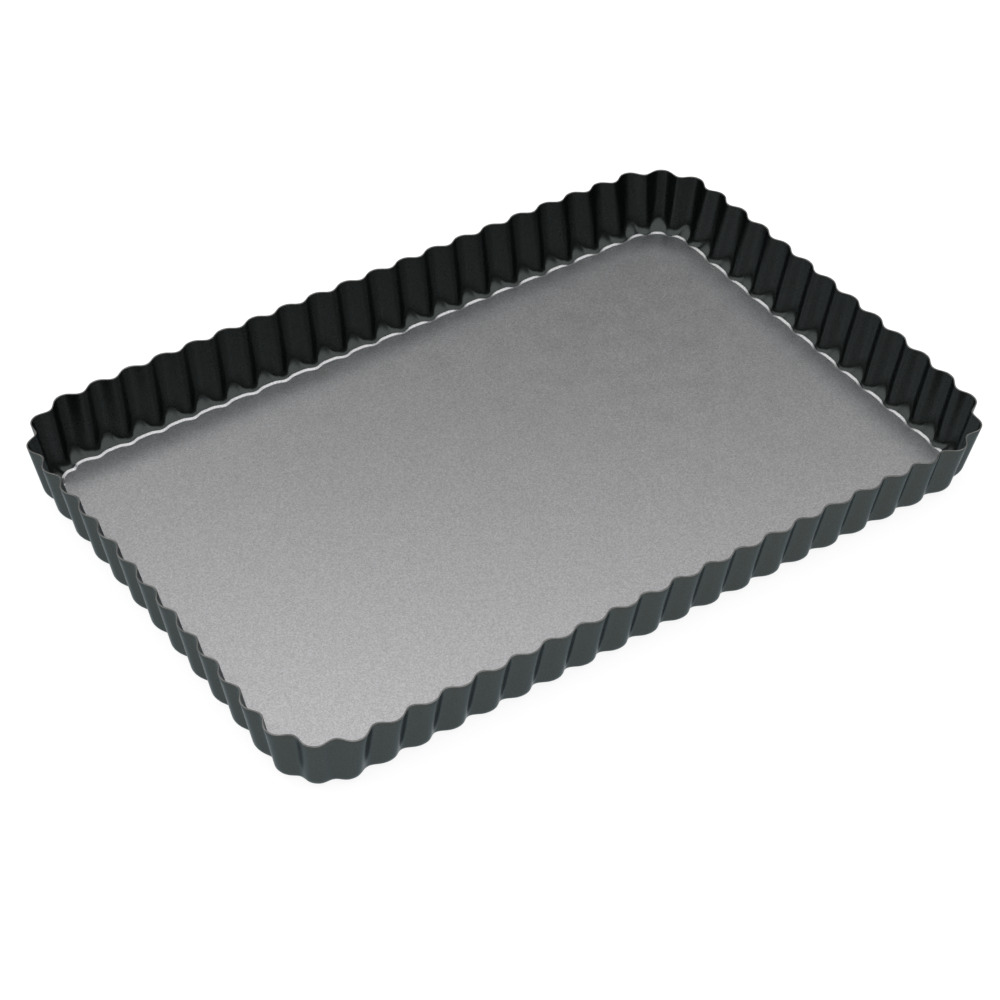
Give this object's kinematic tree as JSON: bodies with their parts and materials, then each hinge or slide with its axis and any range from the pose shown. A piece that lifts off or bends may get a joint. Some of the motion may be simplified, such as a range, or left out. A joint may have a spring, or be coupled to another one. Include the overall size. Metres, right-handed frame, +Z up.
{
  "type": "loose-base tart pan",
  "caption": "Rectangular fluted tart pan with rounded corners, a non-stick coated rim with an inner ledge, and a flat loose base that lifts out.",
  "frame": {"origin": "centre of the pan's footprint, on the plane the rim's ledge stands on", "axes": "+X along the long sides, +Y along the short sides, +Z up, the way the loose base is pushed out"},
  "size_m": [0.3116, 0.2084, 0.0281],
  "materials": {
    "rim_coating": "satin non-stick coating on steel sheet, bare steel at the cut edge",
    "base_coating": "satin metallic-flake non-stick coating on steel plate, bare steel at the raised edge"
  },
  "bodies": {
    "rim": {"fluted_rim": "rim_coating"},
    "base": {"loose_base": "base_coating"}
  },
  "joints": [
    {"name": "base_lift", "type": "slide", "parent": "rim", "child": "base", "axis": [0, 0, 1], "range_m": [0, 0.06]}
  ]
}
